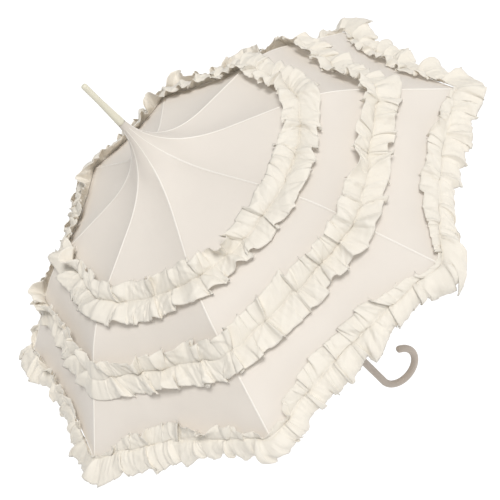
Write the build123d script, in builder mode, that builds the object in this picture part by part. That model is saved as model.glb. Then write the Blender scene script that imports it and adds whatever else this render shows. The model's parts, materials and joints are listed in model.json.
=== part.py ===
from build123d import *
from math import asin, atan2, cos, degrees, hypot, pi, radians, sin, sqrt, tan
import os

os.makedirs("parts", exist_ok=True)

# All sizes in millimetres. Origin at the middle of the handle's straight grip,
# +Z up the shaft to the spike, +X the way the hook opens.
CROWN_Z = 724.0        # top of the cloth, where the spike begins
RIBS = 8
FIRST_RIB = 20.9       # turn of rib 1 from +X; the others follow clockwise seen from above
STEP_TURN = -45.0
HALF = radians(22.5)   # half the angle between two ribs

# shaft, spike and handle
SHAFT_R = 5.0
SHAFT_BORE = 4.4
SPIKE_LEN = 83.0
SPIKE_BASE_R = 6.2
SPIKE_TIP_R = 4.6
SPIKE_SOCKET = 12.0
GRIP = 140.0           # straight length of the handle
HANDLE_R = 7.0
HOOK_R = 39.5
HOOK_TURN = 239.0
HANDLE_SOCKET = 60.0

# canopy profile along a seam, heights from the crown
TIP_R = 414.0
TIP_Z = -270.6
INNER_SLOPE = radians(14.1)
OUTER_SLOPE = radians(39.3)
BEND_START = 206.5
BEND_END = 297.3
NECK_R = 113.4         # where the cloth peak meets the straight rib
FOLD_T = 0.33          # how far down the peak the cloth folds
CLOTH = 1.0
DROP = 2.7             # rib centre below the top of the cloth
SPLIT_R = 212.0        # crown cloth ends here, below the upper frill
SCALLOP = 9.0          # the hem's inward curve at mid panel

# ribs, stretchers and their rings
RING_R = 9.0
RING_WIRE = 0.6
EYE_HOLE = 1.0
EYE_R = 2.2
BLADE = 1.6
RIB_WIRE = 1.3
STRETCHER_WIRE = 1.2
JOINT_R = 200.0        # where the stretcher's lug sits on the rib
LUG = 3.6
STRETCHER = 215.0
FORK = 34.0
FORK_GAP = 4.4
EAR = 0.8
COLLAR_R = 12.5
COLLAR_H = 10.0
SLOT = 2.0
RUNNER_BORE = 5.15
RUNNER_TUBE_R = 8.0
RUNNER_TUBE = 45.0
KEY_W = 2.6
KEY_R = 7.2
CLOSED_TIP_R = 19.5

# catches
CATCH_W = 1.6
CATCH_BELOW = 26.0     # tooth's flat face below the runner's ring

# frills: inner radius, outer radius
UPPER_FRILL = (190.0, 250.0)
MIDDLE_FRILL = (292.0, 346.0)
HEM_FRILL = (368.0, 454.0)
HEM_UP = 26.0
HEM_OUT = 38.0
FRILL = 1.4
FRILL_LIFT = 0.5

BEND = (BEND_END - BEND_START) / (sin(OUTER_SLOPE) - sin(INNER_SLOPE))
BEND_END_Z = TIP_Z + (TIP_R - BEND_END) * tan(OUTER_SLOPE)
BEND_START_Z = BEND_END_Z + BEND * (cos(INNER_SLOPE) - cos(OUTER_SLOPE))

SIDE = Plane(origin=(0, 0, CROWN_Z), x_dir=(1, 0, 0), z_dir=(0, -1, 0))


def rib_turn(number):
    return FIRST_RIB + STEP_TURN * number


def seam_z(r):
    """Height of the seam's top face outside the cloth peak."""
    if r >= BEND_END:
        return TIP_Z + (TIP_R - r) * tan(OUTER_SLOPE)
    if r <= BEND_START:
        return BEND_START_Z + (BEND_START - r) * tan(INNER_SLOPE)
    slope = asin(sin(INNER_SLOPE) + (r - BEND_START) / BEND)
    return BEND_END_Z + BEND * (cos(slope) - cos(OUTER_SLOPE))


def neck(t):
    """A point (r, z) of the cloth peak, from the spike at t = 0 to the rib at t = 1."""
    end = (NECK_R, seam_z(NECK_R))
    second = (6.2 + 62.2 * sin(radians(2.6)), -62.2 * cos(radians(2.6)))
    third = (end[0] - 53.8 * cos(INNER_SLOPE), end[1] + 53.8 * sin(INNER_SLOPE))
    weights = ((1 - t) ** 3, 3 * t * (1 - t) ** 2, 3 * t * t * (1 - t), t ** 3)
    points = ((6.2, 0.0), second, third, end)
    return tuple(sum(w * p[k] for w, p in zip(weights, points)) for k in (0, 1))


def below(r, slope, depth):
    """The point a given depth under the seam, square to it."""
    return (r - depth * sin(slope), seam_z(r) - depth * cos(slope))


# linkage, worked out from the sizes above
HINGE = (RING_R, seam_z(BEND_START) + (BEND_START - RING_R) * tan(INNER_SLOPE)
         - DROP / cos(INNER_SLOPE))
JOINT = below(JOINT_R, INNER_SLOPE, DROP + LUG)
RUNNER_Z = JOINT[1] - sqrt(STRETCHER ** 2 - (JOINT[0] - RING_R) ** 2)
LEAN = atan2(JOINT[0] - RING_R, JOINT[1] - RUNNER_Z)
RIB_END = below(TIP_R, OUTER_SLOPE, DROP)
CHORD = hypot(RIB_END[0] - RING_R, HINGE[1] - RIB_END[1])
OPEN = atan2(RIB_END[0] - RING_R, HINGE[1] - RIB_END[1])
RIB_SWING = OPEN - asin((CLOSED_TIP_R - RING_R) / CHORD)
JOINT_ARM = hypot(JOINT[0] - RING_R, HINGE[1] - JOINT[1])
JOINT_TURN = atan2(JOINT[0] - RING_R, HINGE[1] - JOINT[1]) - RIB_SWING
CLOSED_JOINT = (RING_R + JOINT_ARM * sin(JOINT_TURN), HINGE[1] - JOINT_ARM * cos(JOINT_TURN))
CLOSED_Z = CLOSED_JOINT[1] - sqrt(STRETCHER ** 2 - (CLOSED_JOINT[0] - RING_R) ** 2)
TRAVEL = RUNNER_Z - CLOSED_Z
STRETCHER_SWING = LEAN - atan2(CLOSED_JOINT[0] - RING_R, CLOSED_JOINT[1] - CLOSED_Z)

# the runner's key and both catches sit midway between ribs 1 and 2
KEY_TURN = FIRST_RIB + STEP_TURN / 2

# the hem's scallop circle, centred outside each panel on its middle line
TIP_FLAT = TIP_R * cos(HALF)
TIP_HALF = TIP_R * sin(HALF)
SCALLOP_R = (TIP_HALF ** 2 + SCALLOP ** 2) / (2 * SCALLOP)
SCALLOP_AT = TIP_FLAT - SCALLOP + SCALLOP_R


def half_cloth(points, lift, thick):
    """Cloth from a rib at +X to the middle of the next panel, straight across."""
    middle = Plane(origin=(0, 0, CROWN_Z), x_dir=(cos(HALF), sin(HALF), 0),
                   z_dir=(sin(HALF), -cos(HALF), 0))
    low = [(r * cos(HALF), z + lift) for r, z in points]
    top = [(x, z + thick) for x, z in low]
    with BuildPart() as cloth:
        with BuildSketch(middle):
            with BuildLine():
                Spline(*low)
                Line(low[-1], top[-1])
                Spline(*top)
                Line(top[0], low[0])
            make_face()
        extrude(amount=220, both=True)
        with BuildSketch(Plane.XY.offset(CROWN_Z - 400)):
            wide = tan(HALF)
            Polygon((4, 0.2), (600, 0.2), (600, 600 * wide - 0.2), (4, 4 * wide - 0.2),
                    align=None)
        extrude(amount=500, mode=Mode.INTERSECT)
    return cloth.part


def cut_round(shape, centre_at, radius, mode):
    """Trim a half cloth by an upright cylinder on the panel's middle line."""
    with BuildPart() as trimmed:
        add(shape)
        with BuildSketch(Plane.XY.offset(CROWN_Z - 400)):
            with Locations((centre_at * cos(HALF), centre_at * sin(HALF))):
                Circle(radius)
        extrude(amount=500, mode=mode)
    return trimmed.part


def seam_points(start, end, count):
    step = (end - start) / (count - 1)
    return [(start + k * step, seam_z(start + k * step)) for k in range(count)]


# ---- cloth, one side of the rib at +X ----
fold_points = [neck(FOLD_T + 0.02), neck(0.5), neck(0.68), neck(0.85)]
fold_points = fold_points + seam_points(NECK_R, SPLIT_R - 0.6, 4)
crown_half = half_cloth(fold_points, -CLOTH, CLOTH)
panel_half = half_cloth(seam_points(SPLIT_R, TIP_R + 4, 10), -CLOTH, CLOTH)
panel_half = cut_round(panel_half, SCALLOP_AT, SCALLOP_R, Mode.SUBTRACT)
panel_half = cut_round(panel_half, 0, TIP_R, Mode.INTERSECT)
upper_half = half_cloth(seam_points(*UPPER_FRILL, 5), FRILL_LIFT, FRILL)
middle_half = half_cloth(seam_points(*MIDDLE_FRILL, 4), FRILL_LIFT, FRILL)
hem_half = half_cloth(seam_points(HEM_FRILL[0], HEM_FRILL[1] + 8, 4), FRILL_LIFT, FRILL)
hem_half = cut_round(hem_half, SCALLOP_AT, SCALLOP_R + HEM_UP, Mode.INTERSECT)
hem_half = cut_round(hem_half, SCALLOP_AT, SCALLOP_R - HEM_OUT, Mode.SUBTRACT)
hem_half = cut_round(hem_half, 0, HEM_FRILL[1], Mode.INTERSECT)

crown_other = mirror(crown_half, about=Plane.XZ)
panel_other = mirror(panel_half, about=Plane.XZ)
frills = [upper_half, middle_half, hem_half]
frills = frills + [mirror(frill, about=Plane.XZ) for frill in frills]

# ---- rib at +X ----
arc_start = below(BEND_START, INNER_SLOPE, DROP)
MIDDLE_SLOPE = (INNER_SLOPE + OUTER_SLOPE) / 2
arc_middle = below(BEND_START + BEND * (sin(MIDDLE_SLOPE) - sin(INNER_SLOPE)), MIDDLE_SLOPE, DROP)
arc_end = below(BEND_END, OUTER_SLOPE, DROP)
blade_end = (HINGE[0] + 8 * cos(INNER_SLOPE), HINGE[1] - 8 * sin(INNER_SLOPE))
rib_tip = (RIB_END[0] + 6 * cos(OUTER_SLOPE), RIB_END[1] - 6 * sin(OUTER_SLOPE))
RIB_IN = Plane(origin=(HINGE[0], 0, CROWN_Z + HINGE[1]),
               x_dir=(cos(INNER_SLOPE), 0, -sin(INNER_SLOPE)), z_dir=(0, -1, 0))

with BuildPart() as rib_shape:
    with BuildLine(SIDE) as rib_path:
        Line(blade_end, arc_start)
        ThreePointArc(arc_start, arc_middle, arc_end)
        Line(arc_end, rib_tip)
    with BuildSketch(Plane(origin=rib_path.line @ 0, z_dir=rib_path.line % 0)):
        Circle(RIB_WIRE)
    sweep()
    with BuildSketch(RIB_IN):
        Circle(EYE_R)
        with Locations((6, 0)):
            Rectangle(12, 2 * RIB_WIRE)
    extrude(amount=BLADE / 2, both=True)
    with BuildSketch(RIB_IN):
        Circle(EYE_HOLE)
    extrude(amount=5, both=True, mode=Mode.SUBTRACT)

# lug for the stretcher, crimped on the rib's straight length
lug_centre = below(JOINT_R, INNER_SLOPE, DROP)
LUG_IN = Plane(origin=(lug_centre[0], 0, CROWN_Z + lug_centre[1]),
               x_dir=(cos(INNER_SLOPE), 0, -sin(INNER_SLOPE)), z_dir=(0, -1, 0))
ALONG_RIB = Plane(origin=(lug_centre[0], 0, CROWN_Z + lug_centre[1]),
                  z_dir=(cos(INNER_SLOPE), 0, -sin(INNER_SLOPE)))

with BuildPart() as lug_shape:
    with BuildSketch(LUG_IN):
        with Locations((0, 0.35 - 0.9)):
            Rectangle(9, 2.9)
        with Locations((0, -LUG / 2)):
            Rectangle(4.2, LUG)
        with Locations((0, -LUG)):
            Circle(2.1)
    extrude(amount=1.9, both=True)
    with BuildSketch(ALONG_RIB):
        Circle(RIB_WIRE + 0.02)
    extrude(amount=8, both=True, mode=Mode.SUBTRACT)
    with BuildSketch(LUG_IN):
        with Locations((0, -LUG)):
            Circle(0.92)
    extrude(amount=3, both=True, mode=Mode.SUBTRACT)

with BuildPart() as rivet_shape:
    with BuildSketch(LUG_IN):
        with Locations((0, -LUG)):
            Circle(0.9)
    extrude(amount=1.85, both=True)

TIP_IN = Plane(origin=(RIB_END[0], 0, CROWN_Z + RIB_END[1]),
               z_dir=(cos(OUTER_SLOPE), 0, -sin(OUTER_SLOPE)))
with BuildPart() as tip_shape:
    with BuildSketch(TIP_IN.offset(2.0)):
        Circle(2.2)
    extrude(amount=7.5)
    fillet(tip_shape.edges().filter_by(GeomType.CIRCLE).sort_by(SortBy.DISTANCE)[-1:], 1.6)
    with BuildSketch(TIP_IN.offset(1.0)):
        Circle(RIB_WIRE + 0.02)
    extrude(amount=5.05, mode=Mode.SUBTRACT)

# ---- stretcher at +X, eye on the runner's ring and fork at the rib ----
STRUT = Plane(origin=(RING_R, 0, CROWN_Z + RUNNER_Z), x_dir=(sin(LEAN), 0, cos(LEAN)),
              z_dir=(0, -1, 0))
STRUT_END = Plane(origin=(RING_R + 8 * sin(LEAN), 0, CROWN_Z + RUNNER_Z + 8 * cos(LEAN)),
                  z_dir=(sin(LEAN), 0, cos(LEAN)))
with BuildPart() as stretcher_shape:
    with BuildSketch(STRUT_END):
        Circle(STRETCHER_WIRE)
    extrude(amount=STRETCHER - FORK - 12)
    with BuildSketch(STRUT):
        Circle(EYE_R)
        with Locations((6, 0)):
            Rectangle(12, 2 * STRETCHER_WIRE)
    extrude(amount=BLADE / 2, both=True)
    with BuildSketch(STRUT):
        with Locations((STRETCHER - FORK / 2, 0)):
            Rectangle(FORK, 3.6)
        with Locations((STRETCHER - FORK - 3, 0)):
            Rectangle(6, 3.6)
        with Locations((STRETCHER, 0)):
            Circle(2.4)
    extrude(amount=FORK_GAP / 2 + EAR, both=True)
    with BuildSketch(STRUT):
        with Locations((STRETCHER - FORK / 2 + 4, 0)):
            Rectangle(FORK + 8, 9)
    extrude(amount=FORK_GAP / 2, both=True, mode=Mode.SUBTRACT)
    with BuildSketch(STRUT):
        Circle(EYE_HOLE)
        with Locations((STRETCHER, 0)):
            Circle(1.1)
    extrude(amount=6, both=True, mode=Mode.SUBTRACT)


# ---- shaft ----
def catch_slot(ring_z):
    """A slot through one wall of the shaft for a catch's tooth."""
    top = CROWN_Z + ring_z - CATCH_BELOW
    turned = Plane.XY.rotated((0, 0, KEY_TURN)).offset(top - 17.0)
    with BuildPart() as slot:
        with BuildSketch(turned):
            with Locations((SHAFT_R, 0)):
                Rectangle(SHAFT_R, CATCH_W + 0.6)
        extrude(amount=17.4)
    return slot.part


def catch_leaf(ring_z):
    """A flat leaf in the shaft's bore, its tooth standing out of the slot."""
    top = CROWN_Z + ring_z - CATCH_BELOW
    turned = Plane(origin=(0, 0, top),
                   x_dir=(cos(radians(KEY_TURN)), sin(radians(KEY_TURN)), 0),
                   z_dir=(sin(radians(KEY_TURN)), -cos(radians(KEY_TURN)), 0))
    with BuildPart() as leaf:
        with BuildSketch(turned):
            Polygon((2.4, 8), (3.8, 8), (3.8, 0), (6.8, 0), (6.8, -1.5), (3.8, -16),
                    (3.8, -34), (2.4, -34), align=None)
        extrude(amount=CATCH_W / 2, both=True)
    return leaf.part


top_slot = catch_slot(RUNNER_Z)
bottom_slot = catch_slot(CLOSED_Z)
top_leaf = catch_leaf(RUNNER_Z)
bottom_leaf = catch_leaf(CLOSED_Z)

with BuildPart() as shaft:
    with BuildSketch(Plane.XY.offset(GRIP / 2 - HANDLE_SOCKET)):
        Circle(SHAFT_R)
        Circle(SHAFT_BORE, mode=Mode.SUBTRACT)
    extrude(amount=CROWN_Z + SPIKE_SOCKET - GRIP / 2 + HANDLE_SOCKET)
    add(top_slot, mode=Mode.SUBTRACT)
    add(bottom_slot, mode=Mode.SUBTRACT)
shaft.part.label = "shaft"
export_step(shaft.part, "parts/shaft.step")

with BuildPart() as top_catch:
    add(top_leaf)
top_catch.part.label = "top_catch"
export_step(top_catch.part, "parts/top_catch.step")

with BuildPart() as bottom_catch:
    add(bottom_leaf)
bottom_catch.part.label = "bottom_catch"
export_step(bottom_catch.part, "parts/bottom_catch.step")

# ---- spike, a moulded cap on the shaft's end ----
with BuildPart() as spike:
    with BuildSketch(SIDE):
        with BuildLine():
            Line((0, 0.4), (SPIKE_BASE_R - 0.4, 0.4))
            Line((SPIKE_BASE_R - 0.4, 0.4), (SPIKE_BASE_R, 1.0))
            Line((SPIKE_BASE_R, 1.0), (SPIKE_BASE_R, 9.0))
            Line((SPIKE_BASE_R, 9.0), (5.9, 11.0))
            Line((5.9, 11.0), (SPIKE_TIP_R, 48.0))
            Line((SPIKE_TIP_R, 48.0), (SPIKE_TIP_R, SPIKE_LEN))
            Line((SPIKE_TIP_R, SPIKE_LEN), (0, SPIKE_LEN))
            Line((0, SPIKE_LEN), (0, 0.4))
        make_face()
    revolve(axis=Axis.Z)
    fillet(spike.faces().sort_by(Axis.Z)[-1].edges(), 3.2)
    with BuildSketch(Plane.XY.offset(CROWN_Z - 1)):
        Circle(SHAFT_R + 0.02)
    extrude(amount=1 + SPIKE_SOCKET + 0.1, mode=Mode.SUBTRACT)
spike.part.label = "spike"
export_step(spike.part, "parts/spike.step")

# ---- notch: slotted collar that carries the ribs ----
SLOTS = [Plane.XY.rotated((0, 0, rib_turn(k))) for k in range(RIBS)]


def slotted_collar(ring_z):
    with BuildPart() as collar:
        with BuildSketch(Plane.XY.offset(CROWN_Z + ring_z - COLLAR_H / 2)):
            Circle(COLLAR_R)
            Circle(SHAFT_R + 0.02, mode=Mode.SUBTRACT)
        extrude(amount=COLLAR_H)
        for turned in SLOTS:
            with BuildSketch(turned.offset(CROWN_Z + ring_z - COLLAR_H / 2)):
                with Locations((6.3 + 5, 0)):
                    Rectangle(10, SLOT)
            extrude(amount=COLLAR_H, mode=Mode.SUBTRACT)
        with BuildSketch(Plane.XY.offset(CROWN_Z + ring_z - RING_WIRE - 0.02)):
            Circle(COLLAR_R + 1)
            Circle(RING_R - RING_WIRE - 0.02, mode=Mode.SUBTRACT)
        extrude(amount=2 * RING_WIRE + 0.04, mode=Mode.SUBTRACT)
    return collar.part


def wire_ring(ring_z):
    with BuildPart() as ring:
        with BuildSketch(SIDE):
            with Locations((RING_R, ring_z)):
                Circle(RING_WIRE)
        revolve(axis=Axis.Z)
    return ring.part


notch_collar = slotted_collar(HINGE[1])
runner_collar = slotted_collar(RUNNER_Z)
notch_ring = wire_ring(HINGE[1])
runner_ring = wire_ring(RUNNER_Z)

with BuildPart() as top_notch:
    add(notch_collar)
top_notch.part.label = "top_notch"
export_step(top_notch.part, "parts/top_notch.step")

with BuildPart() as notch_wire:
    add(notch_ring)
notch_wire.part.label = "notch_wire"
export_step(notch_wire.part, "parts/notch_wire.step")

# ---- runner ----
with BuildPart() as runner:
    add(runner_collar)
    with BuildSketch(Plane.XY.offset(CROWN_Z + RUNNER_Z - COLLAR_H / 2 - RUNNER_TUBE)):
        Circle(RUNNER_TUBE_R)
    extrude(amount=RUNNER_TUBE)
    with BuildSketch(Plane.XY.offset(CROWN_Z + RUNNER_Z - COLLAR_H / 2 - RUNNER_TUBE)):
        Circle(RUNNER_TUBE_R + 1.6)
    extrude(amount=3)
    with BuildSketch(Plane.XY.offset(CROWN_Z + RUNNER_Z - 80)):
        Circle(RUNNER_BORE)
    extrude(amount=100, mode=Mode.SUBTRACT)
    with BuildSketch(Plane.XY.rotated((0, 0, KEY_TURN)).offset(CROWN_Z + RUNNER_Z - 80)):
        with Locations((KEY_R / 2, 0)):
            Rectangle(KEY_R, KEY_W)
    extrude(amount=100, mode=Mode.SUBTRACT)
    with BuildSketch(Plane.XY.rotated((0, 0, KEY_TURN)).offset(CROWN_Z + RUNNER_Z - 44)):
        with Locations((KEY_R, 0)):
            Rectangle(2 * (KEY_R - 4), KEY_W)
    extrude(amount=20, mode=Mode.SUBTRACT)
runner.part.label = "runner"
export_step(runner.part, "parts/runner.step")

with BuildPart() as runner_wire:
    add(runner_ring)
runner_wire.part.label = "runner_wire"
export_step(runner_wire.part, "parts/runner_wire.step")

# ---- cloth peak round the shaft below the spike ----
peak = [neck(k * FOLD_T / 5) for k in range(6)]
with BuildPart() as crown_neck:
    with BuildSketch(SIDE):
        with BuildLine():
            Spline(*peak)
            Line(peak[-1], (peak[-1][0] - 0.6, peak[-1][1] - 0.6))
            Spline(*[(r - 0.8 + 0.2 * k / 5, z - 0.6 * k / 5)
                     for k, (r, z) in reversed(list(enumerate(peak)))])
            Line((peak[0][0] - 0.8, peak[0][1]), peak[0])
        make_face()
    revolve(axis=Axis.Z)
crown_neck.part.label = "crown_neck"
export_step(crown_neck.part, "parts/crown_neck.step")

# ---- crook handle ----
with BuildPart() as handle:
    with BuildLine(Plane.XZ) as crook:
        Line((0, GRIP / 2), (0, -GRIP / 2))
        CenterArc((HOOK_R, -GRIP / 2), HOOK_R, 180, HOOK_TURN)
    with BuildSketch(Plane(origin=crook.line @ 0, z_dir=crook.line % 0)):
        Circle(HANDLE_R)
    sweep()
    hook_end = handle.faces().filter_by(GeomType.PLANE).sort_by(Axis.X)[-1]
    fillet(hook_end.edges(), 5.0)
    top_edge = handle.faces().filter_by(GeomType.PLANE).sort_by(Axis.Z)[-1].edges()
    fillet(top_edge, 1.5)
    with BuildSketch(Plane.XY.offset(GRIP / 2 - HANDLE_SOCKET)):
        Circle(SHAFT_R + 0.02)
    extrude(amount=HANDLE_SOCKET + 2, mode=Mode.SUBTRACT)
handle.part.label = "handle"
export_step(handle.part, "parts/handle.step")

# ---- the eight ribs with everything they carry ----
for number in range(RIBS):
    turn = (0, 0, rib_turn(number))
    name = str(number + 1)

    with BuildPart() as rib:
        add(rib_shape.part, rotation=turn)
    rib.part.label = "rib_" + name
    export_step(rib.part, "parts/rib_" + name + ".step")

    with BuildPart() as rib_fittings:
        add(lug_shape.part, rotation=turn)
        add(rivet_shape.part, rotation=turn)
        add(tip_shape.part, rotation=turn)
    rib_fittings.part.label = "rib_fittings_" + name
    export_step(rib_fittings.part, "parts/rib_fittings_" + name + ".step")

    with BuildPart() as stretcher:
        add(stretcher_shape.part, rotation=turn)
    stretcher.part.label = "stretcher_" + name
    export_step(stretcher.part, "parts/stretcher_" + name + ".step")

    with BuildPart() as crown_cloth:
        add(crown_half, rotation=turn)
        add(crown_other, rotation=turn)
    crown_cloth.part.label = "crown_cloth_" + name
    export_step(crown_cloth.part, "parts/crown_cloth_" + name + ".step")

    with BuildPart() as canopy_panel:
        add(panel_half, rotation=turn)
        add(panel_other, rotation=turn)
    canopy_panel.part.label = "canopy_panel_" + name
    export_step(canopy_panel.part, "parts/canopy_panel_" + name + ".step")

    with BuildPart() as frill_set:
        for frill in frills:
            add(frill, rotation=turn)
    frill_set.part.label = "frill_set_" + name
    export_step(frill_set.part, "parts/frill_set_" + name + ".step")

print("hinge", [round(v, 3) for v in HINGE], "joint", [round(v, 3) for v in JOINT])
print("runner ring", round(RUNNER_Z, 3), "closed", round(CLOSED_Z, 3), "travel", round(TRAVEL, 3))
print("rib swing", round(degrees(RIB_SWING), 3), "stretcher", round(degrees(STRETCHER_SWING), 3))
print("fold at", [round(v, 3) for v in neck(FOLD_T)], "scallop", round(SCALLOP_R, 2))
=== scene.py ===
import json
from math import atan2, cos, pi, radians, sin, tan

import bpy
import numpy as np
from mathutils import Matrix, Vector


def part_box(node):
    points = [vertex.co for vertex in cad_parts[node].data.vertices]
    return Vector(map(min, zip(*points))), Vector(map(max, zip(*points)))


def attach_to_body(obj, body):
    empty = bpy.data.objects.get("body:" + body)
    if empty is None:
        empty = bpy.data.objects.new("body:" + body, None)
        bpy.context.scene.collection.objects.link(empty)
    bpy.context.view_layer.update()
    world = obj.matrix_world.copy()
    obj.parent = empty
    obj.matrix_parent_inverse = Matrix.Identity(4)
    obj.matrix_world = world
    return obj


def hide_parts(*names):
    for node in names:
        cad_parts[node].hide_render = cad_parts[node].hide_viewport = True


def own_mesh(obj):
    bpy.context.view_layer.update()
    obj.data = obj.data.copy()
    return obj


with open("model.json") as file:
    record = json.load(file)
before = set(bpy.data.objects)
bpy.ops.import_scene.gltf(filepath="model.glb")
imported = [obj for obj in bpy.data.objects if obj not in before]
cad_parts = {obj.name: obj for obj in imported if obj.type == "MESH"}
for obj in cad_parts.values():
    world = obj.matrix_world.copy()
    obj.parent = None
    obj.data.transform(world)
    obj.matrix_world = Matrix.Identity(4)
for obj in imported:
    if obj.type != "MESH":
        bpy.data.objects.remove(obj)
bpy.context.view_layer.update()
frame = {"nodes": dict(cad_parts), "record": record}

# ---------------------------------------------------------------- sizes, in metres
RIBS = 8
HALF = radians(22.5)                         # half the angle between two ribs
JOINTS = {joint["name"]: joint for joint in frame["record"]["behaviour"]["joints"]}
HINGES = [JOINTS[f"rib_hinge_{k + 1}"]["pos_m"] for k in range(RIBS)]
RIB_TURN = [atan2(hinge[1], hinge[0]) for hinge in HINGES]
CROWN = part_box("crown_neck")[1].z
FOLD_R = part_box("crown_neck")[1].x           # the peak's fixed cloth ends here and folds

# a seam's profile: a curved peak, a gentle slope, a bend and a steep slope down to the tip
NECK_TOP_R, NECK_R = 0.0062, 0.1134
NECK_LEAN = radians(2.6)
NECK_PULL, SHOULDER_PULL = 0.0622, 0.0538    # lengths of the peak curve's two handles
INNER_SLOPE, OUTER_SLOPE = radians(14.1), radians(39.3)
BEND_START, BEND_END = 0.2065, 0.2973
TIP_R, TIP_Z = 0.414, -0.2706                # heights are from the crown
BEND = (BEND_END - BEND_START) / (sin(OUTER_SLOPE) - sin(INNER_SLOPE))
BEND_END_Z = TIP_Z + (TIP_R - BEND_END) * tan(OUTER_SLOPE)
BEND_START_Z = BEND_END_Z + BEND * (cos(INNER_SLOPE) - cos(OUTER_SLOPE))

# the cloth is round about the shaft up to the first radius, and eight-sided from the second
ROUND_R, EIGHT_SIDED_R = 0.022, 0.055
SAG_R = (0.03, 0.07, 0.14, 0.22, 0.30, 0.38, 0.43)
SAG = (0.0, 0.0035, 0.0065, 0.008, 0.010, 0.006, 0.003)
SPLIT_R = 0.212                              # crown cloth ends here, below the upper frill
LOWER_R = 0.318                              # upper and lower panel cloth meet here, below the middle frill
LAP = 0.014                                  # the crown cloth laps this far over the panels
LAP_LIFT = 0.0006
SCALLOP = 0.009                              # the hem's inward curve at mid panel


# ---------------------------------------------------------------- the canopy as a height over a plane
def straight_profile(r):
    """Height of a seam below the crown, outside the peak."""
    inner = BEND_START_Z + (BEND_START - r) * tan(INNER_SLOPE)
    lean = np.arcsin(np.clip(sin(INNER_SLOPE) + (r - BEND_START) / BEND, 0.0, 0.99))
    bent = BEND_END_Z + BEND * (np.cos(lean) - cos(OUTER_SLOPE))
    outer = TIP_Z + (TIP_R - r) * tan(OUTER_SLOPE)
    return np.where(r < BEND_START, inner, np.where(r < BEND_END, bent, outer))


def peak_table():
    """(radius, height) down the cloth peak, a Bezier curve from the spike to the ribs."""
    end = np.array([NECK_R, float(straight_profile(np.array(NECK_R)))])
    first = np.array([NECK_TOP_R, 0.0])
    second = first + NECK_PULL * np.array([sin(NECK_LEAN), -cos(NECK_LEAN)])
    third = end - SHOULDER_PULL * np.array([cos(INNER_SLOPE), -sin(INNER_SLOPE)])
    t = np.linspace(0, 1, 400)[:, None]
    return first * (1 - t) ** 3 + 3 * second * t * (1 - t) ** 2 + 3 * third * t * t * (1 - t) + end * t ** 3


PEAK = peak_table()


def profile(r):
    """Height of a seam below the crown."""
    return np.where(r < NECK_R, np.interp(r, PEAK[:, 0], PEAK[:, 1]), straight_profile(r))


def smooth_step(x, low, high):
    t = np.clip((x - low) / (high - low), 0, 1)
    return t * t * (3 - 2 * t)


def from_middle(x, y):
    """Radius, and turn from the middle line of the panel that the point is on."""
    turn = np.arctan2(y, x)
    off = np.mod(turn - RIB_TURN[0], 2 * HALF) - HALF
    return np.hypot(x, y), off


def surface(x, y):
    """Height of the cloth's top face; panels sag in below the straight line between their ribs."""
    r, off = from_middle(x, y)
    flat = r * np.cos(off) / cos(HALF)
    share = smooth_step(r, ROUND_R, EIGHT_SIDED_R)
    across = np.clip(np.tan(off) / tan(HALF), -1, 1)
    r_seam = r + (flat - r) * share
    return CROWN + profile(r_seam) - np.interp(r_seam, SAG_R, SAG) * share * (1 - across ** 2)


# ---------------------------------------------------------------- mesh helpers
def grid_faces(rows, columns, flip=False):
    a = (np.arange(rows - 1)[:, None] * columns + np.arange(columns - 1)[None, :]).ravel()
    quads = np.stack([a, a + 1, a + columns + 1, a + columns], 1)
    return quads[:, ::-1] if flip else quads


def thick_grid(points, rows, columns, thickness):
    """A grid of cloth given an underside and four edges; the given points are its upper face."""
    p = points.reshape(rows, columns, 3)
    normal = np.cross(np.gradient(p, axis=0), np.gradient(p, axis=1))
    normal /= np.maximum(np.linalg.norm(normal, axis=2, keepdims=True), 1e-12)
    under = (p + normal * thickness).reshape(-1, 3)
    top = grid_faces(rows, columns, flip=True)
    count = rows * columns
    number = np.arange(count).reshape(rows, columns)
    rim = np.concatenate([number[0, :], number[1:, -1], number[-1, -2::-1], number[-2:0:-1, 0]])
    after = np.roll(rim, -1)
    edge = np.stack([rim, after, after + count, rim + count], 1)
    return np.concatenate([points, under]), np.concatenate([top, top[:, ::-1] + count, edge])


def mesh_object(name, points, faces, uv, material):
    mesh = bpy.data.meshes.new(name)
    mesh.from_pydata(points.tolist(), [], faces.tolist())
    mesh.polygons.foreach_set("use_smooth", np.ones(len(mesh.polygons), bool))
    corner = np.empty(len(mesh.loops), np.int32)
    mesh.loops.foreach_get("vertex_index", corner)
    layer = mesh.uv_layers.new(name="cloth")
    layer.data.foreach_set("uv", uv[corner].astype(np.float32).ravel())
    mesh.update()
    mesh.materials.append(material)
    piece = bpy.data.objects.new(name, mesh)
    bpy.context.scene.collection.objects.link(piece)
    return piece


def attach(piece, body, keep=None):
    """Rides on a body; with keep, it also gets a mesh of its own."""
    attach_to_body(piece, body)
    if keep is not None:
        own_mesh(piece)


# ---------------------------------------------------------------- materials
def new_material(name):
    material = bpy.data.materials.new(name)
    material.use_nodes = True
    nodes, links = material.node_tree.nodes, material.node_tree.links
    return material, nodes, links, nodes["Principled BSDF"]


def add_noise(nodes, links, coordinate, scale, detail):
    noise = nodes.new("ShaderNodeTexNoise")
    noise.inputs["Scale"].default_value = scale
    noise.inputs["Detail"].default_value = detail
    links.new(coordinate, noise.inputs["Vector"])
    return noise


def add_mapping(nodes, links, coordinate, socket, value):
    """Coordinates turned or stretched, by the mapping's Rotation or Scale."""
    mapping = nodes.new("ShaderNodeMapping")
    mapping.inputs[socket].default_value = value
    links.new(coordinate, mapping.inputs["Vector"])
    return mapping.outputs["Vector"]


def add_bump(nodes, links, height, strength, distance):
    bump = nodes.new("ShaderNodeBump")
    bump.inputs["Strength"].default_value = strength
    bump.inputs["Distance"].default_value = distance
    links.new(height, bump.inputs["Height"])
    return bump


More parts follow.
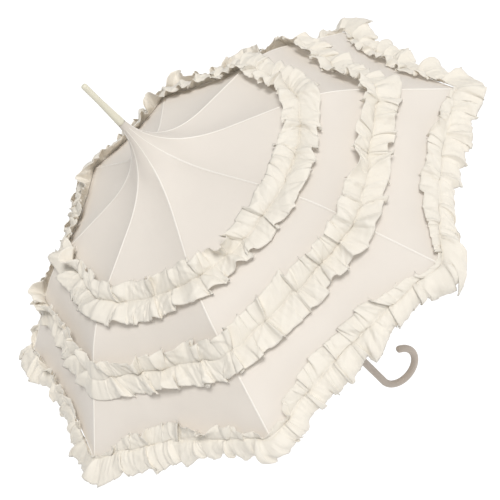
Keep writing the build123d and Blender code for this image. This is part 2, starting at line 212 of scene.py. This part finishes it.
def tint_by_noise(nodes, links, shader, dark, light, scale, coordinate):
    """Colour that drifts between two tones."""
    noise = add_noise(nodes, links, coordinate, scale, 4.0)
    ramp = nodes.new("ShaderNodeValToRGB")
    ramp.color_ramp.elements[0].position = 0.3
    ramp.color_ramp.elements[1].position = 0.7
    ramp.color_ramp.elements[0].color = (*dark, 1)
    ramp.color_ramp.elements[1].color = (*light, 1)
    links.new(noise.outputs["Fac"], ramp.inputs["Fac"])
    links.new(ramp.outputs["Color"], shader.inputs["Base Color"])
    return noise


def weave_height(nodes, links, coordinate, scale):
    """Threads running both ways, the higher one on top."""
    over = nodes.new("ShaderNodeMath")
    over.operation = "MAXIMUM"
    for side, turn in enumerate((0.0, pi / 2)):
        threads = nodes.new("ShaderNodeTexWave")
        threads.inputs["Scale"].default_value = scale
        threads.inputs["Distortion"].default_value = 0.6
        threads.inputs["Detail"].default_value = 1.0
        links.new(add_mapping(nodes, links, coordinate, "Rotation", (0, 0, turn)), threads.inputs["Vector"])
        links.new(threads.outputs["Fac"], over.inputs[side])
    return over.outputs["Value"]


def cloth_material(name, dark, light, weave, weave_depth, crease, crease_depth, glow, pressed=None):
    """Woven cloth with creases, sheen and some light through it; pressed draws creases along the folds."""
    material, nodes, links, shader = new_material(name)
    place = nodes.new("ShaderNodeTexCoord")
    tint_by_noise(nodes, links, shader, dark, light, 14.0, place.outputs["Object"])
    woven = weave_height(nodes, links, place.outputs["UV"], weave)
    weave_bump = add_bump(nodes, links, woven, 0.35, weave_depth)
    lie = place.outputs["Object"]
    if pressed is not None:
        lie = add_mapping(nodes, links, place.outputs["UV"], "Scale", pressed)
    creases = add_noise(nodes, links, lie, crease, 3.0)
    creases.inputs["Roughness"].default_value = 0.55
    crease_bump = add_bump(nodes, links, creases.outputs["Fac"], 1.0, crease_depth)
    links.new(weave_bump.outputs["Normal"], crease_bump.inputs["Normal"])
    links.new(crease_bump.outputs["Normal"], shader.inputs["Normal"])
    shader.inputs["Roughness"].default_value = 0.62
    shader.inputs["Sheen Weight"].default_value = 0.25
    shader.inputs["Sheen Roughness"].default_value = 0.4
    shader.inputs["Specular IOR Level"].default_value = 0.35
    through = nodes.new("ShaderNodeBsdfTranslucent")
    through.inputs["Color"].default_value = (*light, 1)
    mixed = nodes.new("ShaderNodeMixShader")
    mixed.inputs["Fac"].default_value = glow
    links.new(shader.outputs["BSDF"], mixed.inputs[1])
    links.new(through.outputs["BSDF"], mixed.inputs[2])
    links.new(mixed.outputs["Shader"], nodes["Material Output"].inputs["Surface"])
    return material


def hard_material(name, dark, light, drift, roughness, grain, grain_scale, metallic=0.0, coat=0.0,
                  stretch=(1, 1, 1)):
    """Moulded, painted or drawn surface with a drifting tone, fine grain and uneven gloss."""
    material, nodes, links, shader = new_material(name)
    place = nodes.new("ShaderNodeTexCoord")
    spread = add_mapping(nodes, links, place.outputs["Object"], "Scale", stretch)
    noise = tint_by_noise(nodes, links, shader, dark, light, drift, spread)
    gloss = nodes.new("ShaderNodeMapRange")
    gloss.inputs["To Min"].default_value = roughness - 0.07
    gloss.inputs["To Max"].default_value = roughness + 0.08
    links.new(noise.outputs["Fac"], gloss.inputs["Value"])
    links.new(gloss.outputs["Result"], shader.inputs["Roughness"])
    shader.inputs["Metallic"].default_value = metallic
    shader.inputs["Coat Weight"].default_value = coat
    fine = add_noise(nodes, links, spread, grain_scale, 2.0)
    bump = add_bump(nodes, links, fine.outputs["Fac"], 0.4, grain)
    links.new(bump.outputs["Normal"], shader.inputs["Normal"])
    return material


CANOPY = cloth_material("canopy_satin", dark=(0.758, 0.703, 0.637), light=(0.776, 0.720, 0.652),
                        weave=900.0, weave_depth=0.00012, crease=22.0, crease_depth=0.0009, glow=0.16)
FRILL = cloth_material("frill_cotton", dark=(0.872, 0.822, 0.732), light=(0.900, 0.850, 0.758),
                       weave=700.0, weave_depth=0.00015, crease=170.0, crease_depth=0.0012, glow=0.14,
                       pressed=(0.16, 1.0, 1.0))
SEAM = cloth_material("seam_binding", dark=(0.885, 0.840, 0.772), light=(0.905, 0.862, 0.795),
                      weave=700.0, weave_depth=0.0001, crease=160.0, crease_depth=0.0003, glow=0.05)
CREAM = hard_material("cream_moulding", dark=(0.70, 0.665, 0.535), light=(0.74, 0.705, 0.575),
                      drift=40.0, roughness=0.36, grain=0.00006, grain_scale=700.0, coat=0.15)
HANDLE = hard_material("handle_matt", dark=(0.47, 0.405, 0.345), light=(0.52, 0.450, 0.385),
                       drift=30.0, roughness=0.55, grain=0.00010, grain_scale=900.0)
FITTING = hard_material("runner_moulding", dark=(0.74, 0.71, 0.62), light=(0.79, 0.76, 0.67),
                        drift=60.0, roughness=0.42, grain=0.00005, grain_scale=900.0)
PAINTED = hard_material("cream_paint", dark=(0.78, 0.765, 0.70), light=(0.82, 0.805, 0.745),
                        drift=35.0, roughness=0.38, grain=0.00004, grain_scale=500.0,
                        metallic=0.1, coat=0.1, stretch=(1, 1, 0.15))
WIRE = hard_material("drawn_steel", dark=(0.55, 0.55, 0.55), light=(0.66, 0.66, 0.66),
                     drift=120.0, roughness=0.34, grain=0.00003, grain_scale=1400.0, metallic=0.9)

FINISHES = {"spike": CREAM, "handle": HANDLE, "shaft": PAINTED, "runner": FITTING, "top_notch": FITTING,
            "notch_wire": WIRE, "runner_wire": WIRE, "top_catch": WIRE, "bottom_catch": WIRE}
for k in range(1, RIBS + 1):
    FINISHES.update({f"rib_{k}": PAINTED, f"stretcher_{k}": PAINTED, f"rib_fittings_{k}": WIRE})
for node, material in FINISHES.items():
    for held in frame["nodes"][node].material_slots:
        held.material = material


# ---------------------------------------------------------------- canopy cloth
PEAK_ROWS, PEAK_COLUMNS = 40, 97
PEAK_WEAVE_R = 0.02                          # radius at which the peak's weave is at full scale
COLUMNS = 22                                 # from a rib to the middle of the panel
COLUMN_CROWDING = 1.35                       # draws a sheet's columns towards its rib
ROW_CROWDING = 1.3                           # draws its rows towards the shaft, above the neck's end
# piece, body, CAD node it stands for, start and end radius, rows, share of its width left when folded
CLOTHS = (("crown_cloth_top", "crown_cloth", "crown_cloth", FOLD_R, 0.036, 14, 0.85),
          ("crown_cloth_upper", "crown_cloth", "crown_cloth", 0.036, 0.060, 14, 0.50),
          ("crown_cloth_sheet", "crown_cloth", "crown_cloth", 0.060, SPLIT_R + LAP, 40, 0.29),
          ("canopy_upper", "rib", "canopy_panel", SPLIT_R, LOWER_R, 28, 0.20),
          ("canopy_lower", "rib", "canopy_panel", LOWER_R, None, 28, 0.10))


def hem_radius(across):
    """Seam radius at which a line across the panel meets the hem; across is 0 at the rib, 1 mid panel."""
    lateral = sin(HALF) * (1 - across)
    half_chord = TIP_R * sin(HALF)
    circle = (half_chord ** 2 + SCALLOP ** 2) / (2 * SCALLOP)
    centre = TIP_R * cos(HALF) - SCALLOP + circle
    a = cos(HALF) ** 2 + lateral ** 2
    b = centre * cos(HALF)
    c = centre ** 2 - circle ** 2
    return (b - np.sqrt(b * b - a * c)) / a


def gore_points(turn, start, end, rows, columns):
    """Grid of cloth centred on a rib, between two radii; end None runs to the hem."""
    across = np.linspace(-1, 1, 2 * columns - 1)
    across = np.sign(across) * np.abs(across) ** COLUMN_CROWDING
    last = hem_radius(np.abs(across)) if end is None else np.full(len(across), end)
    down = np.linspace(0, 1, rows)[:, None] ** (1.0 if start > NECK_R else ROW_CROWDING)
    r_seam = start + (last[None, :] - start) * down
    share = smooth_step(r_seam, ROUND_R, EIGHT_SIDED_R)
    angle = across[None, :] * HALF
    flat_x = r_seam * (1 - np.abs(across) * (1 - cos(HALF) ** 2))
    flat_y = across * r_seam * cos(HALF) * sin(HALF)
    round_x, round_y = r_seam * np.cos(angle), r_seam * np.sin(angle)
    x = round_x + (flat_x - round_x) * share
    y = round_y + (flat_y - round_y) * share
    world_x = x * cos(turn) - y * sin(turn)
    world_y = x * sin(turn) + y * cos(turn)
    z = surface(world_x, world_y)
    uv = np.stack([np.broadcast_to(y, z.shape), np.broadcast_to(r_seam, z.shape)], -1)
    return np.stack([world_x, world_y, z], -1).reshape(-1, 3), uv.reshape(-1, 2)


def peak_points(rows, columns):
    """The round cloth peak above the fold."""
    r = NECK_TOP_R + (FOLD_R - NECK_TOP_R) * np.linspace(0, 1, rows) ** 2.0
    turn = np.linspace(0, 2 * pi, columns)
    x, y = r[:, None] * np.cos(turn), r[:, None] * np.sin(turn)
    z = surface(x, y)
    uv = np.stack([np.broadcast_to(turn * PEAK_WEAVE_R, z.shape), np.broadcast_to(r[:, None], z.shape)], -1)
    return np.stack([x, y, z], -1).reshape(-1, 3), uv.reshape(-1, 2)


def make_peak():
    points, uv = peak_points(PEAK_ROWS, PEAK_COLUMNS)
    peak = mesh_object("peak_cloth", points, grid_faces(PEAK_ROWS, PEAK_COLUMNS, flip=True), uv, CANOPY)
    attach(peak, "frame")
    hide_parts("crown_neck")


def make_cloth(k, name, body, node, start, end, rows, keep):
    """One sheet of rib k, from one radius to the next."""
    number = f"_{k + 1}"
    points, uv = gore_points(RIB_TURN[k], start, end, rows, COLUMNS)
    if body == "crown_cloth":
        points[:, 2] += LAP_LIFT * smooth_step(uv[:, 1], SPLIT_R, SPLIT_R + 0.004)
    columns = 2 * COLUMNS - 1
    sheet = mesh_object(name + number, points, grid_faces(rows, columns), uv, CANOPY)
    attach(sheet, body + number, keep)
    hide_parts(node + number)


make_peak()
for k in range(RIBS):
    for cloth in CLOTHS:
        make_cloth(k, *cloth)


# ---------------------------------------------------------------- seam bindings along the ribs
SEAM_COLUMNS = 9
SEAM_SINK = 0.0002                           # the ridge's feet start this far inside the cloth
SEAM_FALL = 0.0004                           # and follow the cloth down on both sides by this much
STITCH = 0.004


def seam_points(turn, start, end, rows):
    """A flattened half-round ridge along one rib; columns run across it."""
    r = np.linspace(start, end, rows)
    z = surface(r * cos(turn), r * sin(turn))
    slope = np.gradient(z, r)
    angle = np.linspace(0, pi, SEAM_COLUMNS)
    half_width = 0.0008 * smooth_step(r, 0.0, 0.05) + 0.0005
    height = 0.0007 + 0.0001 * np.sin(r * 2 * pi / STITCH)
    out_r = -slope / np.sqrt(1 + slope ** 2)
    out_z = 1 / np.sqrt(1 + slope ** 2)
    across = half_width[:, None] * np.cos(angle)
    up = height[:, None] * np.sin(angle) - SEAM_SINK
    radial = r[:, None] + up * out_r[:, None]
    level = z[:, None] + up * out_z[:, None]
    x = radial * cos(turn) - across * sin(turn)
    y = radial * sin(turn) + across * cos(turn)
    foot = np.abs(np.cos(angle)) ** 2 * SEAM_FALL
    uv = np.stack([np.broadcast_to(across, x.shape), np.broadcast_to(r[:, None], x.shape)], -1)
    return np.stack([x, y, level - foot], -1).reshape(-1, 3), uv.reshape(-1, 2)


def seam_piece(name, turns, start, end, rows, body):
    """Ridges along one rib or more, as one piece."""
    ridges = [seam_points(turn, start, end, rows) for turn in turns]
    count = rows * SEAM_COLUMNS
    faces = [grid_faces(rows, SEAM_COLUMNS, flip=True) + count * i for i in range(len(turns))]
    piece = mesh_object(name, np.concatenate([points for points, _ in ridges]), np.concatenate(faces),
                        np.concatenate([uv for _, uv in ridges]), SEAM)
    attach(piece, body)


seam_piece("peak_seams", RIB_TURN, 0.0072, FOLD_R, 50, "frame")
for k, turn in enumerate(RIB_TURN, 1):
    seam_piece(f"crown_seam_{k}", [turn], FOLD_R, SPLIT_R, 160, f"crown_cloth_{k}")
    seam_piece(f"panel_seam_{k}", [turn], SPLIT_R, TIP_R - 0.002, 160, f"rib_{k}")


# ---------------------------------------------------------------- gathered frills
FRILL_STEP = 0.00115                         # spacing of the mesh along a strip
FRILL_THICK = 0.0004
FRILL_CLEAR = 0.0013                         # the stitch line's height over the cloth
INNER_STEPS, OUTER_STEPS = 15, 17            # points from the stitch line to either free edge
SLOPE_REACH = 0.004                          # the cloth's slope is measured this far to each side
FULLNESS = 1.8                               # length of cloth in a strip per length of its stitch line

# widths of the folds, smallest and largest
MEDIUM_PITCH, FINE_PITCH = (0.0080, 0.0190), (0.0036, 0.0070)
CROSS_PITCH, BACK_PITCH = (0.008, 0.020), (0.010, 0.026)
GATHER_PITCH = (0.022, 0.060)
CREASE_HEIGHT = 0.0029
KNOT = 0.0055                                # half length of the pinch at a gathering point
WANDER = 0.0022                              # how far the stitch line strays from its ring

# large: widths of the big pleats; tall, middling: heights of the big and medium ones
# begin, finish: angle off the cloth at the stitches and at the free edge, each with its play
# flop: how far stretches of the edge turn up; flare, tuck: how far the edge lifts at the ribs and
# turns under on the low side; hangs: whether the edge may drop below the line of the cloth
INSIDE = {"large": (0.022, 0.052), "tall": 0.0062, "middling": 0.0027, "hangs": False,
          "begin": (0.55, 0.32), "finish": (0.05, 0.40), "flop": 2.0}
OUTSIDE = {"large": (0.022, 0.052), "tall": 0.0066, "middling": 0.0029, "hangs": False,
           "begin": (0.38, 0.24), "finish": (-0.16, 0.20), "flop": 0.5, "flare": 0.0, "tuck": 0.0}
HEM_INSIDE = dict(INSIDE, tall=0.0045, begin=(0.42, 0.25), finish=(-0.05, 0.35), flop=1.5)
HEM_OUTSIDE = dict(OUTSIDE, large=(0.026, 0.062), tall=0.0105, middling=0.0034, hangs=True,
                   begin=(0.45, 0.25), finish=(-0.95, 0.35), flop=0.9, flare=0.75, tuck=0.75)


def ring_noise(u, count, dice):
    """Smooth noise from -1 to 1 round a closed ring; u runs from 0 to 1."""
    knots = dice.uniform(-1, 1, count)
    x = np.mod(u, 1.0) * count
    i = np.floor(x).astype(int)
    f = x - i
    f = f * f * (3 - 2 * f)
    return knots[i % count] * (1 - f) + knots[(i + 1) % count] * f


def blur_ring(values, half_window):
    """Averages samples of a closed ring over a Hann window."""
    window = np.hanning(2 * half_window + 3)[1:-1]
    window /= window.sum()
    padded = np.concatenate([values[-half_window:], values, values[:half_window]])
    return np.convolve(padded, window, "valid")


class FrillRing:
    """The stitch line of one tier, as seen from above, with its outward and upward directions."""

    SAMPLES = 7200

    def __init__(self, radius, bulge, rounding, fan):
        """Corners are rounded over one length, and the directions over another."""
        step = 2 * pi / self.SAMPLES
        turn = RIB_TURN[0] - HALF + np.arange(self.SAMPLES) * step
        off = np.mod(turn - RIB_TURN[0], 2 * HALF) - HALF
        rho = radius * cos(HALF) / np.cos(off) + bulge * (1 - (off / HALF) ** 2)
        rho = blur_ring(rho, max(int(rounding / radius / step), 1))
        x, y = rho * np.cos(turn), rho * np.sin(turn)
        dx = (np.roll(x, -1) - np.roll(x, 1)) / 2
        dy = (np.roll(y, -1) - np.roll(y, 1)) / 2
        length = np.hypot(dx, dy)
        self.s = np.concatenate([[0], np.cumsum((length + np.roll(length, -1)) / 2)])
        self.total = self.s[-1]
        fan_window = max(int(fan / radius / step), 1)
        nx, ny = blur_ring(dy / length, fan_window), blur_ring(-dx / length, fan_window)
        size = np.hypot(nx, ny)
        nx, ny = nx / size, ny / size
        e = SLOPE_REACH
        gx = (surface(x + e, y) - surface(x - e, y)) / (2 * e)
        gy = (surface(x, y + e) - surface(x, y - e)) / (2 * e)
        gx, gy = blur_ring(gx, fan_window), blur_ring(gy, fan_window)
        self.columns = [np.append(v, v[0]) for v in (x, y, nx, ny, gx, gy)]

    def at(self, s):
        """Place, outward direction and the cloth's slope, at lengths along the line."""
        s = np.mod(s, self.total)
        return [np.interp(s, self.s, column) for column in self.columns]

    def drift(self, s, pitch, dice):
        """Noise from -1 to 1 that changes about once in each pitch."""
        return ring_noise(s / self.total, max(int(self.total / pitch), 5), dice)

    def divide(self, low, high, dice):
        """Edges of stretches of random width that close round the ring."""
        widths = []
        while sum(widths) < self.total:
            widths.append(dice.uniform(low, high))
        edges = np.concatenate([[0], np.cumsum(widths)])
        return edges * self.total / edges[-1]


class Folds:
    """Creases of random width round a ring: how high each sample stands on its fold, from 0 to 1."""

    def __init__(self, ring, s, pitch, dice, skew):
        edges = ring.divide(*pitch, dice)
        self.count = len(edges) - 1
        place = np.mod(s, ring.total)
        self.index = np.clip(np.searchsorted(edges, place, "right") - 1, 0, self.count - 1)
        self.pitch = np.diff(edges)[self.index]
        self.part = (place - edges[self.index]) / self.pitch
        # folds lie over to one side in runs, as pressed pleats do
        runs = np.sign(ring_noise(edges[:-1] / ring.total, max(self.count // 4, 4), dice) + 0.1)
        self.side = runs[self.index]
        crest = 0.5 + skew * (runs * dice.uniform(0.45, 1.0, self.count))[self.index]
        self.rise = np.where(self.part < crest, self.part / crest, (1 - self.part) / (1 - crest))

    def each(self, low, high, dice):
        """A random number for every fold, as seen by each sample."""
        return dice.uniform(low, high, self.count)[self.index]


def gathers(ring, s, dice):
    """Distance along the ring from the nearest gathering point, and that as a share of half the gap."""
    edges = ring.divide(*GATHER_PITCH, dice)
    place = np.mod(s, ring.total)
    index = np.clip(np.searchsorted(edges, place, "right") - 1, 0, len(edges) - 2)
    away = place - (edges[index] + edges[index + 1]) / 2
    return away, np.abs(2 * away / np.diff(edges)[index])


def frill_half(ring, s, side, width, seed, style, steps, lift):
    """One free half of a gathered strip, from the stitch line out, as points[s, step]."""
    shared = np.random.default_rng(seed)     # what both halves have in common
    large = Folds(ring, s, style["large"], shared, 0.34)
    medium = Folds(ring, s, MEDIUM_PITCH, shared, 0.28)
    away, far = gathers(ring, s, shared)
    wander = WANDER * ring.drift(s, 0.016, shared)
    dice = np.random.default_rng(seed + (17 if side > 0 else 31))
    fine = Folds(ring, s, FINE_PITCH, dice, 0.2)

    tall = large.each(0.2, 1.0, dice) ** 1.3 * style["tall"]
    middling = medium.each(0.15, 1.0, dice) ** 1.2 * style["middling"]
    busy = smooth_step(ring.drift(s, 0.07, dice), -0.5, 0.6)
    slight = fine.each(0.15, 1.0, dice) * (0.0006 + 0.0011 * busy)

    # the strip leaves the cloth at one angle, bends to another, and flops over here and there
    knot = np.exp(-(away / KNOT) ** 2)
    begin = style["begin"][0] + style["begin"][1] * ring.drift(s, 0.040, dice) + 0.55 * knot
    finish = style["finish"][0] + style["finish"][1] * ring.drift(s, 0.060, dice) + lift
    flop = np.maximum(ring.drift(s, 0.040, dice) - 0.55, 0) / 0.45
    finish = finish + smooth_step(flop, 0.0, 1.0) * style["flop"]
    reach = width * (1 + 0.09 * ring.drift(s, 0.055, dice) + 0.04 * ring.drift(s, 0.018, dice))
    t = np.linspace(0, 1, steps) ** 1.2
    stride = np.diff(t)[None, :] * reach[:, None]
    tilt = begin[:, None] + (finish - begin)[:, None] * t
    zero = np.zeros((len(s), 1))
    along = np.concatenate([zero, np.cumsum(np.cos(tilt[:, 1:]) * stride, 1)], 1)
    up = np.concatenate([zero, np.cumsum(np.sin(tilt[:, 1:]) * stride, 1)], 1)

    # folds stand off the strip's face, with two crossing sets of pressed creases slanted over it
    near = np.clip(t / 0.07, 0, 1)
    lean = width[:, None] * t[None, :]
    cross = Folds(ring, s[:, None] + 0.9 * lean, CROSS_PITCH, dice, 0.4)
    back = Folds(ring, s[:, None] - 0.6 * lean, BACK_PITCH, dice, 0.4)
    creases = cross.each(0.0, 1.0, dice) ** 1.3 * cross.rise * CREASE_HEIGHT
    creases = creases + back.each(0.0, 1.0, dice) ** 1.3 * back.rise * CREASE_HEIGHT
    off_face = (tall * large.rise)[:, None] * t ** 0.8
    off_face = off_face + (middling * medium.rise)[:, None] * (0.45 + 0.55 * t ** 0.7) * near
    off_face = off_face + (slight * fine.rise)[:, None] * (1 - 0.4 * t) * near
    off_face = off_face + creases * (0.3 + 0.7 * t) * near
    along = along - off_face * np.sin(tilt)
    up = up + off_face * np.cos(tilt)

    # the free edge steps where one fold lies on the next
    step = (large.part - 0.5) * large.side * 0.0048 + (medium.part - 0.5) * medium.side * 0.0016
    along = along + step[:, None] * t ** 2

    # folds lie over sideways, fan out from the gathering points, and whole runs of them slant
    over = large.side * large.each(0.12, 0.40, dice) * large.pitch * large.rise
    over = over + medium.side * medium.each(0.05, 0.45, dice) * medium.pitch * medium.rise
    slant = ring.drift(s, 0.11, dice) * 0.50 * width
    fan = -0.62 * away * np.maximum(1 - far ** 2, 0)
    shift = over[:, None] * t ** 0.75 + slant[:, None] * t + fan[:, None] * (1 - t) ** 1.5

    # laid on the cloth
    x, y, nx, ny, gx, gy = ring.at(s[:, None] + shift)
    steep = np.sqrt(1 + gx ** 2 + gy ** 2)
    plan = side * along / steep + wander[:, None]
    px, py = x + nx * plan, y + ny * plan
    clear = FRILL_CLEAR + (up if style["hangs"] else np.maximum(up, 0)) + 0.0004 * t
    base = surface(px, py)
    return np.stack([px - gx / steep * clear, py - gy / steep * clear, base + clear / steep], -1)


def frill_tier(name, ring, inner, outer, pinch, seed, keep, inside_style, outside_style):
    """One tier as eight strips, one on each rib; neighbours share the edge at mid panel."""
    per = int(ring.total / RIBS / FRILL_STEP) + 1
    s = np.arange(RIBS * per + 1) * ring.total / (RIBS * per)
    x, y = ring.at(s)[:2]
    to_rib = np.abs(from_middle(x, y)[1]) / HALF
    inner_width = inner * (1 - pinch * smooth_step(to_rib, 0.45, 0.98))
    inside = frill_half(ring, s, -1, inner_width, seed, inside_style, INNER_STEPS, 0.0)
    # the low side of the tilted parasol is towards -Y
    low_side = smooth_step(-y / np.hypot(x, y), 0.55, 0.92)
    outer_width = outer * (1 + pinch * 0.2 * smooth_step(to_rib, 0.6, 0.98)) * (1 - 0.12 * pinch * low_side)
    lift = outside_style["flare"] * smooth_step(to_rib, 0.55, 0.95) * (1 - low_side)
    lift = lift - outside_style["tuck"] * low_side
    outside = frill_half(ring, s, 1, outer_width, seed, outside_style, OUTER_STEPS, lift)

    strip = np.concatenate([inside[:, :0:-1], outside], 1)
    columns = strip.shape[1]
    across = np.concatenate([-np.linspace(0, inner, INNER_STEPS)[:0:-1], np.linspace(0, outer, OUTER_STEPS)])
    for k in range(RIBS):
        # sectors run anticlockwise from half a panel before rib 1, and the ribs clockwise
        sector = (-k) % RIBS
        part = strip[sector * per:(sector + 1) * per + 1].reshape(-1, 3)
        points, faces = thick_grid(part, per + 1, columns, FRILL_THICK)
        uv = np.stack(np.meshgrid(across, s[:per + 1] * FULLNESS), -1).reshape(-1, 2)
        piece = mesh_object(f"{name}_{k + 1}", points, faces, np.concatenate([uv, uv]), FRILL)
        attach(piece, f"rib_{k + 1}", keep)
        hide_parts(f"frill_set_{k + 1}")


frill_tier("frill_upper", FrillRing(radius=0.2215, bulge=0.006, rounding=0.018, fan=0.030),
           inner=0.030, outer=0.033, pinch=0.0, seed=11, keep=0.28,
           inside_style=INSIDE, outside_style=OUTSIDE)
frill_tier("frill_middle", FrillRing(radius=0.3200, bulge=-0.002, rounding=0.020, fan=0.035),
           inner=0.029, outer=0.033, pinch=0.0, seed=23, keep=0.16,
           inside_style=INSIDE, outside_style=OUTSIDE)
frill_tier("frill_hem", FrillRing(radius=0.4140, bulge=-0.011, rounding=0.012, fan=0.040),
           inner=0.025, outer=0.037, pinch=0.75, seed=37, keep=0.08,
           inside_style=HEM_INSIDE, outside_style=HEM_OUTSIDE)


# ---------------------------------------------------------------- floor, light, camera
FLOOR_Z, FLOOR_REACH = -5.0, 60
KEY_FROM = (0.227, -0.511, 0.829)            # the key light's direction, seen from the parasol
WHITE = (1.0, 1.0, 1.0, 1)


def make_floor():
    """A pale floor far enough below that the parasol's shadow on it fades out."""
    corners = [(x * FLOOR_REACH, y * FLOOR_REACH, FLOOR_Z) for x, y in ((-1, -1), (1, -1), (1, 1), (-1, 1))]
    mesh = bpy.data.meshes.new("floor")
    mesh.from_pydata(corners, [], [(0, 1, 2, 3)])
    floor = bpy.data.objects.new("floor", mesh)
    bpy.context.scene.collection.objects.link(floor)
    material, _, _, shader = new_material("pale_floor")
    shader.inputs["Base Color"].default_value = (0.99, 0.99, 0.99, 1)
    shader.inputs["Roughness"].default_value = 0.9
    shader.inputs["Emission Color"].default_value = WHITE
    shader.inputs["Emission Strength"].default_value = 0.12
    mesh.materials.append(material)


def make_light():
    """An even white room, and a wide softbox far off in one direction."""
    world = bpy.data.worlds.new("studio")
    bpy.context.scene.world = world
    world.use_nodes = True
    background = world.node_tree.nodes["Background"]
    background.inputs["Color"].default_value = WHITE
    background.inputs["Strength"].default_value = 0.42
    lamp = bpy.data.lights.new("key", "SUN")
    lamp.angle = radians(20)
    lamp.energy = 2.35
    holder = bpy.data.objects.new("key", lamp)
    holder.location = KEY_FROM
    holder.rotation_euler = Vector(KEY_FROM).to_track_quat("Z", "Y").to_euler()
    bpy.context.scene.collection.objects.link(holder)


def make_camera():
    lens = bpy.data.cameras.new("camera")
    lens.lens = 71.64
    lens.sensor_width = 36
    lens.clip_end = 200
    camera = bpy.data.objects.new("camera", lens)
    camera.location = (-0.0428, -1.2753, CROWN + 0.6854)
    camera.rotation_euler = (radians(41.34), radians(33.90), radians(-34.27))
    bpy.context.scene.collection.objects.link(camera)
    bpy.context.scene.camera = camera


make_floor()
bpy.context.scene.view_settings.view_transform = "Standard"
make_light()
make_camera()
